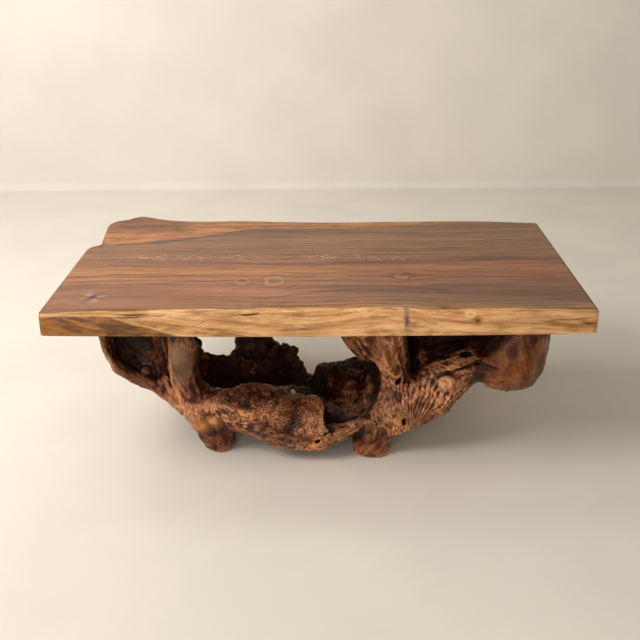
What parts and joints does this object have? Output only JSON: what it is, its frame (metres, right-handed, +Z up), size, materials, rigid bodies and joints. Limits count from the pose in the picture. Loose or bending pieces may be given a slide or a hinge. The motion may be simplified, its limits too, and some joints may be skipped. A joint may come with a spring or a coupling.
{
  "type": "live edge coffee table",
  "caption": "Low table: a thick live-edge hardwood slab on a carved, varnished tree-root base that stands on felt pads.",
  "frame": {"origin": "on the floor, under the middle of the slab's outline", "axes": "+X to the right along the slab, +Y to the back, +Z up"},
  "size_m": [1.2005, 0.7221, 0.43],
  "materials": {
    "slab_wood": "satin clear lacquer",
    "root_wood": "satin clear varnish",
    "dowel_wood": "bare",
    "felt": "pressed felt"
  },
  "bodies": {
    "root": {"live_edge_slab": "slab_wood", "left_bowl_root": "root_wood", "right_bowl_root": "root_wood", "rear_wall_root": "root_wood", "left_ear_root": "root_wood", "right_burl_root": "root_wood", "slab_dowels": "dowel_wood", "centre_joint_dowels": "dowel_wood", "ear_joint_dowels": "dowel_wood", "burl_joint_dowels": "dowel_wood", "rear_joint_dowels": "dowel_wood", "felt_pads": "felt"}
  },
  "joints": []
}
